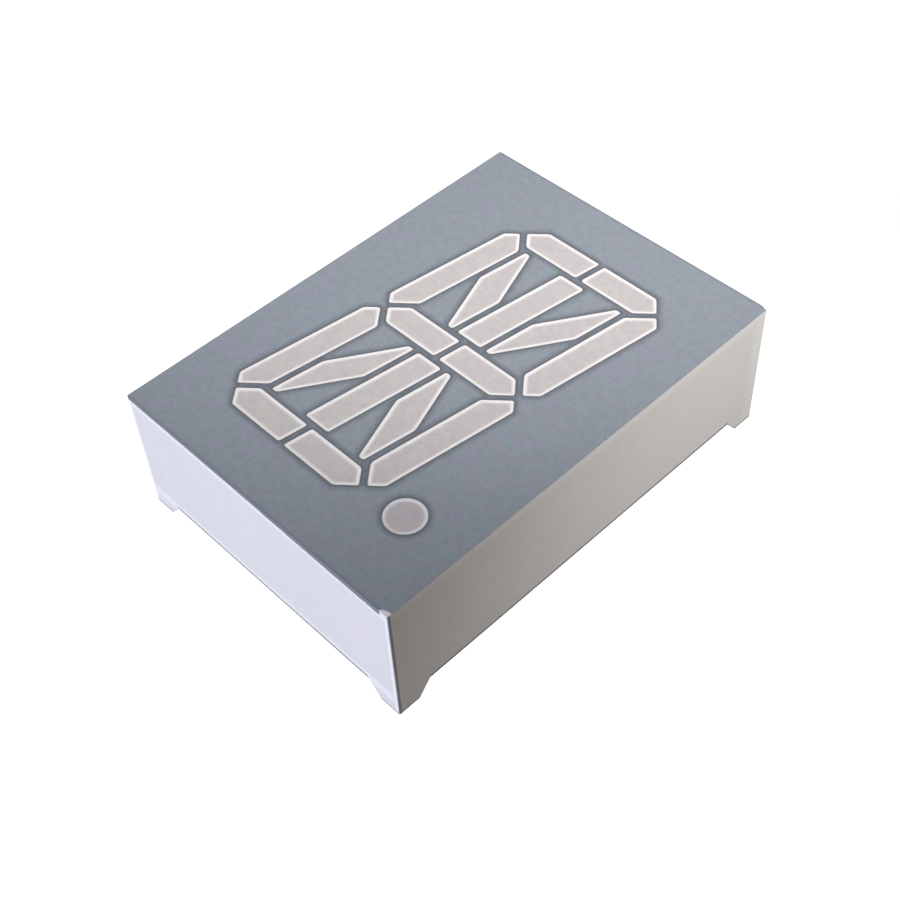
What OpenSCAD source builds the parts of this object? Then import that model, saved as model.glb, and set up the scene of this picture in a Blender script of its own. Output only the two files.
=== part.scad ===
// Single-digit sixteen-segment LED display for through-hole mounting.
// A white moulded reflector hangs one light well per segment behind a grey printed face. Each well
// is filled by an epoxy light pipe that is cast over a bare LED chip on the circuit board.
// Origin: centre of the seating plane under the four corner feet. Millimetres.
// +X runs to the right across the digit, +Y up the digit, +Z out of the lit face.

/* [Housing] */
// Width of the housing, across the digit
body_w = 20; // [18:0.1:26]
// Length of the housing, up the digit
body_l = 27.7; // [25:0.1:36]
// Height from the seating plane to the printed face
body_h = 8.5; // [7.5:0.1:14]
// Radius of the four upright outer corners
corner_r = 0.1; // [0.05:0.05:0.8]
// Height of the corner feet that hold the rim off the board it is mounted on
foot_h = 1; // [0.4:0.1:2]
// Width of a foot at its sole, along each side of the housing
foot_w = 1.4; // [1.2:0.1:4]
// How much wider a foot is at the rim than at its sole
foot_flare = 0.8; // [0:0.05:1]
// Thickness of the outer wall round the circuit board
wall = 1; // [0.7:0.05:1.2]
// Width of the ledge that the circuit board is pushed against
board_ledge = 0.4; // [0.2:0.05:0.7]
// Thickness of the face plate
face_t = 1.2; // [0.8:0.1:2]
// Thickness of the wall of each light well
well_wall = 0.3; // [0.2:0.05:0.5]

/* [Digit] */
// Margin at the left side of the face, up to the foot of the digit
left_margin = 2.71; // [2.4:0.01:3.2]
// Margin at the right side of the face, up to the decimal point
right_margin = 2.56; // [2.4:0.01:3.2]
// Margin at each end of the face, up to the digit
end_margin = 3.45; // [3.1:0.01:4.8]
// Width of a segment window
stroke = 1.74; // [1.5:0.02:2]
// Gap between neighbouring windows
gap = 0.37; // [0.3:0.01:0.5]
// Slant of the digit, in degrees
slant = 8; // [0:1:10]
// Diameter of the decimal point's window
point_d = 2.25; // [1.8:0.05:2.4]
// Gap between the digit and the decimal point
point_gap = 1; // [0.8:0.01:1.2]
// White rim of the reflector that shows round each light pipe
rim = 0.13; // [0.05:0.01:0.2]

/* [Printed face] */
// Thickness of the grey ink
ink_t = 0.1; // [0.05:0.01:0.2]
// White margin that the ink leaves along the edges of the face
ink_margin = 0.02; // [0:0.02:0.3]
// Length of the worn patch at the corner by the decimal point, across the face
point_corner_wear = 0.6; // [0.1:0.05:1]
// Length of the worn patch at the upper right corner, across the face
top_corner_wear = 0.3; // [0.1:0.05:1]

/* [Light pipes] */
// Depth of the straight land below the face, where a light well is as wide as its light pipe
land = 0.5; // [0.2:0.1:0.7]
// Distance from an LED chip's middle to the walls of its light well, at the circuit board
well_foot_r = 0.6; // [0.5:0.05:0.65]

/* [LED chips] */
// Width of an LED chip
chip_w = 0.3; // [0.2:0.05:0.4]
// Thickness of an LED chip
chip_t = 0.25; // [0.15:0.05:0.35]
// Diameter of a bond wire
wire_d = 0.05; // [0.03:0.01:0.08]
// Distance from the middle of a chip to the foot of its bond wire
wire_span = 0.42; // [0.36:0.02:0.48]

/* [Circuit board] */
// Thickness of the circuit board
board_t = 1; // [0.8:0.1:1.6]
// Gap between the edge of the circuit board and the outer wall
board_gap = 0.15; // [0.05:0.05:0.3]
// Depth of the board's back below the rim
board_depth = 0.6; // [0.4:0.1:1.2]
// Radius of the board's corners
board_r = 0.5; // [0.3:0.1:1]
// Width of the sealing bead on the back of the board
bead_w = 0.45; // [0.3:0.05:0.5]
// Height of the sealing bead at the outer wall
bead_h = 0.4; // [0.2:0.05:0.4]

/* [Pins] */
// Pins in each of the two rows
pins_per_row = 9; // [5:1:10]
// Distance between neighbouring pins
pin_pitch = 2.54; // [2.4:0.02:2.54]
// Distance from the middle of a row of pins to the inside of the outer wall
row_inset = 1.38; // [1.25:0.01:1.6]
// Diameter of a pin's leg
pin_d = 0.5; // [0.4:0.05:0.55]
// Diameter of a pin's shank, which is soldered into the board
shank_d = 0.6; // [0.58:0.02:0.7]
// Reach of the pins below the seating plane
pin_reach = 2.3; // [1:0.1:6]
// Length of the chamfer at a pin's tip
pin_chamfer = 0.12; // [0.05:0.01:0.2]
// Diameter of a pin's head
head_d = 0.9; // [0.86:0.02:1]
// Thickness of a pin's head
head_t = 0.25; // [0.15:0.05:0.4]
// Clearance all round a shank in its hole
hole_clearance = 0.05; // [0.03:0.01:0.08]
// Diameter of a solder joint on the board
solder_d = 1.3; // [1:0.05:1.5]
// Height of a solder joint
solder_h = 0.5; // [0.3:0.05:0.6]

/* [Hidden] */
$fn = 48;
cut = 1; // overrun of cutting solids past a surface
left = -1;
right = 1;
lower = -1;
upper = 1;

// Levels, from the seating plane up
rim_z = foot_h;
board_back_z = rim_z + board_depth;
board_front_z = board_back_z + board_t;
housing_top_z = body_h - ink_t;
hollow_top_z = housing_top_z - face_t;
land_z = housing_top_z - land;

// The board's place in the housing
recess_w = body_w - 2 * wall;
recess_l = body_l - 2 * wall;
board_w = recess_w - 2 * board_gap;
board_l = recess_l - 2 * board_gap;

// The digit fills the face between the margins, with its decimal point at its lower right.
// It is laid out upright about its own centre, which lies to the left of the face's centre.
point_room = point_gap + point_d + tan(slant) * point_d / 2;
half_w = (body_w - left_margin - right_margin - point_room) / 2;
half_h = body_l / 2 - end_margin;
digit_shift = body_w / 2 - left_margin - half_w - tan(slant) * half_h;
half_stroke = stroke / 2;
column_mid = half_w - half_stroke;
bar_mid = half_h - half_stroke;
mitre = gap * sqrt(2);

// The grid of the pins. Their numbers run down the left row and up the right one.
row_spacing = recess_w - 2 * row_inset;
row_length = (pins_per_row - 1) * pin_pitch;
hole_d = shank_d + 2 * hole_clearance;
PINS = [for (i = [1:2 * pins_per_row]) i];

// ---- Outlines of the segments -------------------------------------------------------------

// Right half of a horizontal bar at height y, pointed where it meets the columns
function bar(y) = [
    [gap / 2, y - half_stroke],
    [half_w - stroke, y - half_stroke],
    [column_mid, y],
    [half_w - stroke, y + half_stroke],
    [gap / 2, y + half_stroke]
];

// Upper right column, mitred against the bars at both ends
function column() = [
    [column_mid + mitre / 2, mitre / 2],
    [half_w, half_stroke],
    [half_w, half_h - stroke],
    [column_mid + mitre / 2, bar_mid - mitre / 2],
    [half_w - stroke, half_h - stroke - mitre],
    [half_w - stroke, half_stroke + mitre]
];

// Upper half of the centre stroke
function centre_stroke() = [
    [-half_stroke, half_stroke + gap],
    [half_stroke, half_stroke + gap],
    [half_stroke, half_h - stroke - gap],
    [-half_stroke, half_h - stroke - gap]
];

// Upper right diagonal: a band from the digit's centre to the corner, clipped by its neighbours
function diagonal() =
    let (
        near = half_stroke + gap,
        right_edge = half_w - stroke - gap,
        top_edge = half_h - stroke - gap,
        rise = bar_mid / column_mid,
        reach = half_stroke * norm([1, rise])
    ) [
        [near, near],
        [(near + reach) / rise, near],
        [right_edge, rise * right_edge - reach],
        [right_edge, top_edge],
        [(top_edge - reach) / rise, top_edge],
        [near, rise * near + reach]
    ];

// An outline mirrored into another quarter of the digit, still counter-clockwise
function quarter(outline, side, end) =
    let (
        n = len(outline),
        mirrored = [for (p = outline) [side * p[0], end * p[1]]]
    )
    side * end > 0 ? mirrored : [for (i = [1:n]) mirrored[n - i]];

// Each segment's letter and its upright outline
SEGMENTS = [
    ["a1", quarter(bar(bar_mid), left, upper)],
    ["a2", quarter(bar(bar_mid), right, upper)],
    ["b", quarter(column(), right, upper)],
    ["c", quarter(column(), right, lower)],
    ["d1", quarter(bar(bar_mid), left, lower)],
    ["d2", quarter(bar(bar_mid), right, lower)],
    ["e", quarter(column(), left, lower)],
    ["f", quarter(column(), left, upper)],
    ["g1", quarter(bar(0), left, upper)],
    ["g2", quarter(bar(0), right, upper)],
    ["h", quarter(diagonal(), left, upper)],
    ["i", quarter(centre_stroke(), right, upper)],
    ["j", quarter(diagonal(), right, upper)],
    ["k", quarter(diagonal(), right, lower)],
    ["l", quarter(centre_stroke(), right, lower)],
    ["m", quarter(diagonal(), left, lower)]
];

// ---- Helpers ------------------------------------------------------------------------------

// An upright point of the digit at its slanted place on the face
function placed(p) = [p[0] + tan(slant) * p[1] - digit_shift, p[1]];

function edge_normal(outline, i) =
    let (along = outline[(i + 1) % len(outline)] - outline[i])
    [along[1], -along[0]] / norm(along);

// How far each corner of a convex outline moves when every edge moves out by one
function corner_shifts(outline) = [
    for (i = [0:len(outline) - 1])
        let (
            before = edge_normal(outline, (i + len(outline) - 1) % len(outline)),
            after = edge_normal(outline, i)
        )
        (before + after) / (1 + before * after)
];

function grown(outline, by) = outline + by * corner_shifts(outline);

function middle(outline) = [
    for (axis = [0, 1])
        let (along = [for (p = outline) p[axis]])
        (min(along) + max(along)) / 2
];

// A segment's window, the light pipe in it, and the place of its LED chip
function window(segment) = [for (p = segment[1]) placed(p)];
function pipe_top(segment) = grown(window(segment), -rim);
function chip_place(segment) = placed(middle(segment[1]));

// Foot of a light pipe: edges parallel to its top's, all at one distance from the chip's middle,
// so that the walls between the two are flat and draft inwards like those of a mould
function pipe_foot(segment) = [
    for (shift = corner_shifts(window(segment)))
        chip_place(segment) + well_foot_r * shift
];

point_place = placed([half_w + point_gap + point_d / 2, -half_h + point_d / 2]);
point_pipe_d = point_d - 2 * rim;
point_foot_d = 2 * well_foot_r;

function pin_place(i) =
    i <= pins_per_row
    ? [-row_spacing / 2, row_length / 2 - (i - 1) * pin_pitch]
    : [row_spacing / 2, (i - 1 - pins_per_row) * pin_pitch - row_length / 2];

// Rectangle about the origin with round corners
module rounded_rectangle(w, l, r) {
    square([w - 2 * r, l], center = true);
    square([w, l - 2 * r], center = true);
    for (x = [left, right], y = [lower, upper])
        translate([x * (w / 2 - r), y * (l / 2 - r)]) circle(r);
}

// Loft through outlines of one point count, each at its own level, from the lowest up
module loft(outlines, levels) {
    n = len(outlines[0]);
    top = len(outlines) - 1;
    points = [for (k = [0:top], p = outlines[k]) [p[0], p[1], levels[k]]];
    bottom_face = [for (i = [0:n - 1]) i];
    top_face = [for (i = [1:n]) (top + 1) * n - i];
    sides = [
        for (k = [0:top - 1], i = [0:n - 1])
            let (
                a = k * n + i,
                b = k * n + (i + 1) % n
            )
            [a, a + n, b + n, b]
    ];
    polyhedron(points, concat([bottom_face, top_face], sides));
}

// ---- Reflector housing --------------------------------------------------------------------

// Space inside one light well, with its mouth carried up past the face
module light_well(segment, mouth_z) {
    mouth = pipe_top(segment);
    loft([pipe_foot(segment), mouth, mouth], [board_front_z, land_z, mouth_z]);
}

// Outside of a light well, from the board up to the land, which lies within the face plate
module well_skin(segment) {
    foot = grown(pipe_foot(segment), well_wall);
    loft([foot, grown(pipe_top(segment), well_wall)], [board_front_z, land_z]);
}

// Tapered stretch of the decimal point's round well, or its outside when it is thickened
module point_cone(thicker) {
    translate([point_place[0], point_place[1], board_front_z])
        cylinder(
            h = land_z - board_front_z,
            d1 = point_foot_d + 2 * thicker,
            d2 = point_pipe_d + 2 * thicker
        );
}

module point_well(mouth_z) {
    point_cone(0);
    translate([point_place[0], point_place[1], land_z])
        cylinder(h = mouth_z - land_z, d = point_pipe_d);
}

// Gap under the rim between two feet, through the housing along Y
module foot_gap(width) {
    sole = width / 2 - foot_w;
    root = sole - foot_flare;
    far = max(body_w, body_l);
    rotate([90, 0, 0])
        linear_extrude(2 * far, center = true)
            polygon([[-sole, -cut], [sole, -cut], [sole, 0], [root, rim_z], [-root, rim_z], [-sole, 0]]);
}

// Outer walls, face plate and feet, open at the back for the circuit board
module shell() {
    difference() {
        linear_extrude(housing_top_z) rounded_rectangle(body_w, body_l, corner_r);
        translate([0, 0, -cut])
            linear_extrude(board_front_z + cut)
                rounded_rectangle(recess_w, recess_l, board_r + board_gap);
        translate([0, 0, board_front_z - cut])
            linear_extrude(hollow_top_z - board_front_z + cut)
                rounded_rectangle(recess_w - 2 * board_ledge, recess_l - 2 * board_ledge, board_r);
        foot_gap(body_w);
        rotate([0, 0, 90]) foot_gap(body_l);
    }
}

module reflector_housing() {
    color("#f3f2ee")
        difference() {
            union() {
                shell();
                for (s = SEGMENTS) well_skin(s);
                point_cone(well_wall);
            }
            for (s = SEGMENTS) light_well(s, housing_top_z + cut);
            point_well(housing_top_z + cut);
        }
}

// ---- Printed face -------------------------------------------------------------------------

// Ink missing at a corner of the face, mostly along the edge that runs across
module worn_corner(side, end, reach) {
    translate([side * body_w / 2, end * body_l / 2]) scale([1, 0.5]) circle(reach);
}

module printed_face() {
    color("#7f8a92")
        translate([0, 0, housing_top_z])
            linear_extrude(ink_t)
                difference() {
                    rounded_rectangle(body_w - 2 * ink_margin, body_l - 2 * ink_margin, corner_r);
                    for (s = SEGMENTS) polygon(window(s));
                    translate(point_place) circle(d = point_d);
                    worn_corner(right, lower, point_corner_wear);
                    worn_corner(right, upper, top_corner_wear);
                }
}

// ---- LED chips and bond wires -------------------------------------------------------------

module on_board(place) {
    translate([place[0], place[1], board_front_z]) children();
}

module led_chip(place) {
    color("#d8c64a")
        on_board(place)
            translate([-chip_w / 2, -chip_w / 2, 0]) cube([chip_w, chip_w, chip_t]);
}

// Loop of wire from the top of a chip over to the board above it
module bond_wire(place) {
    on_board(place) {
        translate([0, wire_span / 2, chip_t])
            rotate([90, 0, 90])
                rotate_extrude(angle = 180) translate([wire_span / 2, 0]) circle(d = wire_d);
        translate([0, wire_span, 0]) cylinder(h = chip_t, d = wire_d);
    }
}

module bond_wires() {
    color("#e6c25a") {
        for (s = SEGMENTS) bond_wire(chip_place(s));
        bond_wire(point_place);
    }
}

// ---- Light pipes --------------------------------------------------------------------------

module light_pipe(segment) {
    color("#d7d1cd")
        difference() {
            light_well(segment, housing_top_z);
            led_chip(chip_place(segment));
            bond_wire(chip_place(segment));
        }
}

module light_pipe_point() {
    color("#b4aeb2")
        difference() {
            point_well(housing_top_z);
            led_chip(point_place);
            bond_wire(point_place);
        }
}

// ---- Circuit board ------------------------------------------------------------------------

module circuit_board() {
    color("#3f7a4a")
        translate([0, 0, board_back_z])
            linear_extrude(board_t)
                difference() {
                    rounded_rectangle(board_w, board_l, board_r);
                    for (i = PINS)
                        translate(pin_place(i)) circle(d = hole_d);
                }
}

// Epoxy that fills the gap round the board and climbs the outer wall behind it
module sealing_bead() {
    color("#cfc7a4")
        difference() {
            translate([0, 0, board_back_z - bead_h])
                linear_extrude(board_t + bead_h)
                    rounded_rectangle(recess_w, recess_l, board_r + board_gap);
            translate([0, 0, board_back_z])
                linear_extrude(board_t + cut) rounded_rectangle(board_w, board_l, board_r);
            bead_slope();
        }
}

// A rectangle about the origin that keeps a distance inside the board's recess
function recess_outline(inside) = [
    for (corner = [[left, lower], [right, lower], [right, upper], [left, upper]])
        [corner[0] * (recess_w / 2 - inside), corner[1] * (recess_l / 2 - inside)]
];

// Space inside the bead: its slope runs from the outer wall up to the bead's foot on the board
module bead_slope() {
    drop = bead_h * (bead_w + cut) / bead_w;
    loft([recess_outline(-cut), recess_outline(bead_w)], [board_back_z - drop, board_back_z]);
}

// ---- Pins and solder ----------------------------------------------------------------------

module at_pin(i, z) {
    translate([pin_place(i)[0], pin_place(i)[1], z]) children();
}

module pin(i) {
    shank_z = board_back_z - solder_h;
    leg_z = pin_chamfer - pin_reach;
    color("#c9ccce") {
        at_pin(i, -pin_reach) cylinder(h = pin_chamfer, d1 = pin_d - pin_chamfer, d2 = pin_d);
        at_pin(i, leg_z) cylinder(h = shank_z - leg_z, d = pin_d);
        at_pin(i, shank_z) cylinder(h = board_front_z - shank_z, d = shank_d);
        at_pin(i, board_front_z) cylinder(h = head_t, d = head_d);
    }
}

module solder_joints() {
    color("#b9bcc0")
        for (i = PINS)
            at_pin(i, board_back_z - solder_h)
                difference() {
                    cylinder(h = solder_h, d1 = hole_d, d2 = solder_d);
                    translate([0, 0, -cut]) cylinder(h = solder_h + 2 * cut, d = shank_d);
                }
}

// ---- Assembly -----------------------------------------------------------------------------

reflector_housing();
printed_face();
for (s = SEGMENTS)
    light_pipe(s);
light_pipe_point();
for (s = SEGMENTS)
    led_chip(chip_place(s));
led_chip(point_place);  // led_chip_point
bond_wires();
circuit_board();
sealing_bead();
for (i = PINS)
    pin(i);
solder_joints();
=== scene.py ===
"""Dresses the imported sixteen-segment LED display and sets it on a pale floor under soft light.

Lengths are metres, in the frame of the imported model: +X across the digit, +Y up the digit and
+Z out of the lit face, with the feet on the plane Z = 0.
"""

import math

import bmesh
import bpy
from mathutils import Matrix, Quaternion, Vector, kdtree


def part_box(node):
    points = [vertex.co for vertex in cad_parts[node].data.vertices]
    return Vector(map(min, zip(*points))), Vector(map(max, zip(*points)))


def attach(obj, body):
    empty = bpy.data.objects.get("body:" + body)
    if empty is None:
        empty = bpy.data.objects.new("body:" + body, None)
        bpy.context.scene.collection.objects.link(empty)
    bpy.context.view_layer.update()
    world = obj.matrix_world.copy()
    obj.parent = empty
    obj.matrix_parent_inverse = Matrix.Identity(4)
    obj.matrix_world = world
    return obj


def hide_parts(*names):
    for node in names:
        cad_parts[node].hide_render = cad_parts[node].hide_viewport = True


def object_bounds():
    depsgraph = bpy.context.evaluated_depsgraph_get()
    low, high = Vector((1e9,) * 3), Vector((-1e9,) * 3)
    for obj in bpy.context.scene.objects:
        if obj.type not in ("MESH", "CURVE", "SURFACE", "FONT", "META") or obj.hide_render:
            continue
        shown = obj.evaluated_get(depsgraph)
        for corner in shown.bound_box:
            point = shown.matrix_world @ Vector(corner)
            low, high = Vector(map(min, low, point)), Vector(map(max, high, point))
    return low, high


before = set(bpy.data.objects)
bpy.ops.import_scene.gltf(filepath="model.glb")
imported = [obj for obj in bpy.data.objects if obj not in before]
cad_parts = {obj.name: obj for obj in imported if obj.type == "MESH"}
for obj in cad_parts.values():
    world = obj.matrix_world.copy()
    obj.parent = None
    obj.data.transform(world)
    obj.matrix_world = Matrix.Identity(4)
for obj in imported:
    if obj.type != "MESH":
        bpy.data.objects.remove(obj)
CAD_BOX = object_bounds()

bl_info = {
    "name": "Sixteen-Segment LED Display",
    "version": (1, 0, 0),
    "blender": (4, 5, 0),
    "location": "View3D > Sidebar > Display",
    "description": "Dresses a packed LED display in moulded, printed, cast and soldered finishes",
    "category": "Object",
}

MM = 0.001
HAIR = 0.001 * MM  # two surfaces that are closer than this are one
CUT_SNAP = 12 * HAIR  # a cut that passes a vertex this closely goes through it
RIM_MERGE = 20 * HAIR  # vertices this close together along a rim become one
INNER_MERGE = 15 * HAIR  # an inner vertex this close to one of the rim joins it
FULL_TURN = 2 * math.pi
SEGMENTS = "a1 a2 b c d1 d2 e f g1 g2 h i j k l m".split()
PINS = [f"pin_{number}" for number in range(1, 19)]
PIN_LEG = 0.25 * MM  # radius of a pin under the board
PIN_SHANK = 0.3 * MM  # radius of a pin in the board
INK_RIM = 0.65 * MM  # the outer edge of the ink is nearer to the outline, and windows aren't


def linear(*display):
    """A colour given as display values from 0 to 255, as the linear values that nodes take."""
    shares = [value / 255 for value in display]
    return tuple(
        s / 12.92 if s <= 0.04045 else ((s + 0.055) / 1.055) ** 2.4 for s in shares
    )


# Painted highlight: the near-white that the housing's edges are lightened to.
PAINTED_HIGHLIGHT = linear(252, 251, 251)
# Painted shade: the dark tint of the shade lines along the housing's feet and one corner.
PAINTED_SHADE = linear(66, 62, 74)
PALE_PIGMENT = linear(174, 180, 189)
GLASS_CLOTH = linear(70, 122, 74)
BARE_LAMINATE = linear(150, 142, 96), linear(186, 178, 130)


def length(name, description, millimetres):
    """A length that the user can change."""
    return bpy.props.FloatProperty(
        name=name,
        description=description,
        default=millimetres * MM,
        min=0,
        precision=5,
        unit="LENGTH",
        subtype="DISTANCE",
    )


def angle(name, description, degrees):
    """An angle that the user can change."""
    return bpy.props.FloatProperty(
        name=name,
        description=description,
        default=math.radians(degrees),
        unit="ROTATION",
        subtype="ANGLE",
    )


def share(name, description, value, most=1.0):
    """A plain number that the user can change."""
    return bpy.props.FloatProperty(
        name=name, description=description, default=value, min=0, max=most
    )


def colour(name, description, *display):
    """A colour that the user can change."""
    return bpy.props.FloatVectorProperty(
        name=name,
        description=description,
        default=linear(*display),
        size=3,
        min=0,
        max=1,
        subtype="COLOR",
    )


# ---- Sizes and colours ----------------------------------------------------------------------


class DisplaySizes(bpy.types.PropertyGroup):
    foot: length("Foot", "Height of the walls' lower edge over the soles", 1.0)
    edge_round: length("Edge rounding", "Radius of the housing's outer edges", 0.05)
    ink_film: length("Ink film", "Thickness of the printed ink as it shows", 0.02)
    # Painted shade: the width of the darker band of ink round each window.
    window_shade_width: length("Ink border", "Width over which the ink darkens towards a window", 0.36)
    window_round: length("Window rounding", "Radius of the corners of a window in the ink", 0.12)
    ink_wrap: length("Ink wrap", "How far the ink runs over the lower edge of the face", 0.2)
    pipe_climb: length("Climb width", "Width over which a light pipe climbs its wall", 0.13)
    pipe_dip: length("Dip", "How far a light pipe's face lies below its edge", 0.012)
    bead_sag: length("Bead sag", "How far the sealing bead's face curves in", 0.09)
    solder_toe: length("Solder toe", "Thickness of a solder joint at its outer edge", 0.03)
    pad_ring: length("Pad ring", "Width of bare pad that shows round a solder joint", 0.16)
    copper: length("Copper", "Thickness of pads and tracks over the board", 0.035)
    track_width: length("Track width", "Width of a copper track on the back of the board", 0.32)
    via_diameter: length("Via diameter", "Diameter of a via's land", 0.75)
    tip_round: length("Tip rounding", "Radius of the edges of a pin", 0.03)


class DisplayColours(bpy.types.PropertyGroup):
    plastic: colour("Plastic", "White moulded plastic", 231, 230, 229)
    ink: colour("Ink", "Grey ink of the face", 143, 151, 160)
    # Painted shade: this darker ink is the band of shade painted round each window; it also tints
    # the ink over the lower edge.
    ink_edge: colour("Ink at the windows", "Ink where it dries darker", 100, 106, 114)
    epoxy: colour("Epoxy", "Milky epoxy of the segments", 197, 194, 195)
    epoxy_rim: colour("Epoxy rim", "Thin epoxy over the white wall of a well", 244, 241, 238)
    point_epoxy: colour("Point epoxy", "Epoxy of the decimal point", 187, 183, 186)
    point_rim: colour("Point rim", "Thin epoxy round the decimal point", 224, 222, 225)
    solder_mask: colour("Solder mask", "Green lacquer of the circuit board", 34, 92, 54)
    sealing: colour("Sealing epoxy", "Epoxy round the circuit board", 205, 196, 166)
    tin: colour("Tin", "Tin plating of pins and pads", 196, 197, 198)
    solder: colour("Solder", "Solder of the joints", 178, 180, 184)
    gold: colour("Gold", "Bond wires", 226, 182, 92)
    chip: colour("Chip", "Bare LED chip", 176, 150, 66)


class StageSettings(bpy.types.PropertyGroup):
    view_azimuth: angle("View azimuth", "Direction of the camera, from -Y towards +X", 48.536)
    view_elevation: angle("View elevation", "Height of the camera over the horizon", 48.834)
    view_roll: angle("View roll", "Turn of the camera about its line of sight", -3.717)
    view_distance: length("View distance", "Distance of the camera from its aim", 80.666)
    view_aim: bpy.props.FloatVectorProperty(
        name="View aim",
        description="Point that the camera looks at",
        default=(0.966 * MM, -1.416 * MM, 2.547 * MM),
        precision=5,
        unit="LENGTH",
        subtype="TRANSLATION",
    )
    lens: share("Lens", "Focal length of the camera, in millimetres", 58.681, 200.0)
    ambient: share("Ambient", "Brightness of the soft light from all round", 0.229)
    front_level: share("Front level", "Brightness of the broad lamp before the lower end", 0.881)
    rear_level: share(
        "Rear level", "Brightness of the soft-edged lamp behind the upper end", 1.12, 4.0
    )
    floor_return: share("Floor return", "Share of the light that the floor sends back", 0.075)
    under_glow: share("Under glow", "Soft light on the underside from the floor below it", 0.6)


class Shade:
    """Wraps a socket of a shader node, so that a sum on values adds its own Math nodes."""

    def __init__(self, tree, socket=None):
        self.tree, self.socket = tree, socket

    def node(self, kind, settings=None, values=None, output=0):
        """Adds a node, sets it up, feeds its sockets by name or number, and gives an output."""
        made = self.tree.nodes.new(kind)
        for name, value in (settings or {}).items():
            setattr(made, name, value)
        for key, value in (values or {}).items():
            if isinstance(value, Shade):
                self.tree.links.new(value.socket, made.inputs[key])
            else:
                made.inputs[key].default_value = value
        return Shade(self.tree, made.outputs[output] if made.outputs else None)

    def math(self, operation, *terms):
        return self.node("ShaderNodeMath", {"operation": operation}, dict(enumerate(terms)))

    def __add__(self, other):
        return self.math("ADD", self, other)

    def __radd__(self, other):
        return self.math("ADD", other, self)

    def __sub__(self, other):
        return self.math("SUBTRACT", self, other)

    def __rsub__(self, other):
        return self.math("SUBTRACT", other, self)

    def __mul__(self, other):
        return self.math("MULTIPLY", self, other)

    def __rmul__(self, other):
        return self.math("MULTIPLY", other, self)

    def __abs__(self):
        return self.math("ABSOLUTE", self)

    def most(self, other):
        """The greater of this value and another."""
        return self.math("MAXIMUM", self, other)

    def least(self, other):
        """The smaller of this value and another."""
        return self.math("MINIMUM", self, other)

    def between(self, low, high):
        """0 where this value is at low and 1 where it is at high, clamped and eased between."""
        return self.node(
            "ShaderNodeMapRange",
            {"interpolation_type": "SMOOTHSTEP"},
            {"Value": self, "From Min": low, "From Max": high},
        )

    def blend(self, first, second):
        """The first colour where this value is 0 and the second where it is 1."""
        return self.node(
            "ShaderNodeMix", {"data_type": "RGBA"}, {0: self, 6: rgba(first), 7: rgba(second)}, 2
        )


def rgba(tint):
    """A colour as a socket takes it. A wrapped socket stays as it is."""
    return tint if isinstance(tint, Shade) else (*tint[:3], 1.0)


def scaled(tint, red, green, blue):
    """A colour with its red, green and blue scaled."""
    return tint[0] * red, tint[1] * green, tint[2] * blue


def darker(tint, by):
    """A colour with a share of its light taken away."""
    return scaled(tint, 1 - by, 1 - by, 1 - by)


# ---- Materials ------------------------------------------------------------------------------


def start_material(name):
    """An empty material, the wrapper that builds its nodes, and Object coordinates."""
    material = bpy.data.materials.new(name)
    material.use_nodes = True
    material.node_tree.nodes.clear()
    shade = Shade(material.node_tree)
    return material, shade, shade.node("ShaderNodeTexCoord", output="Object")


def grain(place, size, detail=2.0, stretch=(1, 1, 1), seed=0.0):
    """Noise of a size in metres at a place, which may be stretched along the axes."""
    moved = place.node(
        "ShaderNodeMapping",
        {"vector_type": "POINT"},
        {"Vector": place, "Location": (seed, seed, seed), "Scale": stretch},
    )
    return place.node(
        "ShaderNodeTexNoise",
        {"noise_dimensions": "3D"},
        {"Vector": moved, "Scale": 1 / size, "Detail": detail, "Roughness": 0.55},
    )


def along(place, axis):
    """One coordinate of a place."""
    return place.node("ShaderNodeSeparateXYZ", values={0: place}, output=axis)


def close_material(material, shade, tint, roughness, height, depth, fixed):
    """Ends a material: a Principled shader with its bump, and what is the same all over it."""
    normal = shade.node("ShaderNodeBump", values={"Distance": depth, "Height": height})
    inputs = {"Base Color": tint, "Roughness": roughness, "Normal": normal, **fixed}
    surface = shade.node("ShaderNodeBsdfPrincipled", values=inputs)
    shade.node("ShaderNodeOutputMaterial", values={"Surface": surface})
    return material


def outer_gaps(place):
    """Distances of a place from the nearer side wall and from the nearer end wall."""
    return [CAD_BOX[1].x - abs(along(place, "X")), CAD_BOX[1].y - abs(along(place, "Y"))]


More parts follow.
